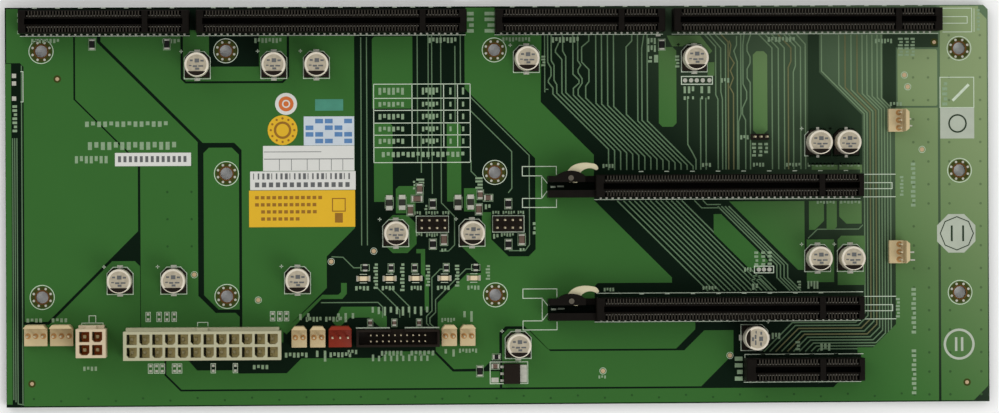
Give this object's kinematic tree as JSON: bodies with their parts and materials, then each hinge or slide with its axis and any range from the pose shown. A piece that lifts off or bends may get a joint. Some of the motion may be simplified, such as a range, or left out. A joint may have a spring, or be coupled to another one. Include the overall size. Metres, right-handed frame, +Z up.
{
  "type": "passive backplane",
  "caption": "Long green carrier board with card slots, latch levers, power sockets, pin headers and can capacitors.",
  "frame": {"origin": "centre of the four corner mounting holes, on the underside of the board, where standoffs touch", "axes": "+X along the board to the right, +Y to the back row of slots, +Z up out of the component side"},
  "size_m": [0.3264, 0.1321, 0.016],
  "materials": {
    "board": "gloss",
    "masked_copper": "gloss",
    "slot_plastic": "satin",
    "lever_plastic": "satin",
    "pin_steel": "brushed",
    "power_plastic": "satin",
    "header_plastic": "satin",
    "red_plastic": "gloss",
    "black_plastic": "satin",
    "tinned_pin": "bright",
    "gold_pin": "bright",
    "can_aluminium": "satin",
    "black_ceramic": "satin",
    "tan_ceramic": "matt",
    "green_body": "satin",
    "lamp_resin": "gloss",
    "label_blue": "matt",
    "label_white": "matt",
    "label_yellow": "matt"
  },
  "bodies": {
    "backplane": {"board": "board", "copper_fields": "masked_copper", "back_slot_a_housing": "slot_plastic", "back_slot_b_housing": "slot_plastic", "back_slot_c_housing": "slot_plastic", "back_slot_d_housing": "slot_plastic", "card_slot_1_housing": "slot_plastic", "card_slot_2_housing": "slot_plastic", "card_slot_3_housing": "slot_plastic", "latch_pin_1": "pin_steel", "latch_pin_2": "pin_steel", "main_power_housing": "power_plastic", "extra_power_housing": "power_plastic", "main_power_pins": "tinned_pin", "extra_power_pins": "tinned_pin", "fan_header_1": "header_plastic", "fan_header_2": "header_plastic", "fan_header_3": "header_plastic", "fan_header_4": "header_plastic", "switch_header_1": "header_plastic", "switch_header_2": "header_plastic", "switch_header_3": "header_plastic", "switch_header_4": "header_plastic", "red_header": "red_plastic", "fan_header_pins": "tinned_pin", "switch_header_pins": "tinned_pin", "shroud_header": "black_plastic", "shroud_header_pins": "gold_pin", "eight_pin_strip_1": "black_plastic", "eight_pin_strip_2": "black_plastic", "three_pin_strip": "black_plastic", "strip_pins": "gold_pin", "capacitor_cans": "can_aluminium", "capacitor_bases": "black_plastic", "capacitor_leads": "tinned_pin", "chip_resistors": "black_ceramic", "chip_capacitors": "tan_ceramic", "chip_networks": "black_ceramic", "fuses": "green_body", "chip_ends": "tinned_pin", "lamp_bodies": "lamp_resin", "lamp_ends": "gold_pin", "regulator_body": "black_plastic", "regulator_metal": "tinned_pin", "blue_label": "label_blue", "white_labels": "label_white", "yellow_labels": "label_yellow"},
    "lever_1": {"latch_lever_1": "lever_plastic"},
    "lever_2": {"latch_lever_2": "lever_plastic"}
  },
  "joints": [
    {"name": "lever_1_hinge", "type": "hinge", "parent": "backplane", "child": "lever_1", "pos_m": [0.0222, -0.002, 0.0092], "axis": [0, 0, 1], "range_deg": [0, 25]},
    {"name": "lever_2_hinge", "type": "hinge", "parent": "backplane", "child": "lever_2", "pos_m": [0.0222, -0.04264, 0.0092], "axis": [0, 0, 1], "range_deg": [0, 25]}
  ]
}
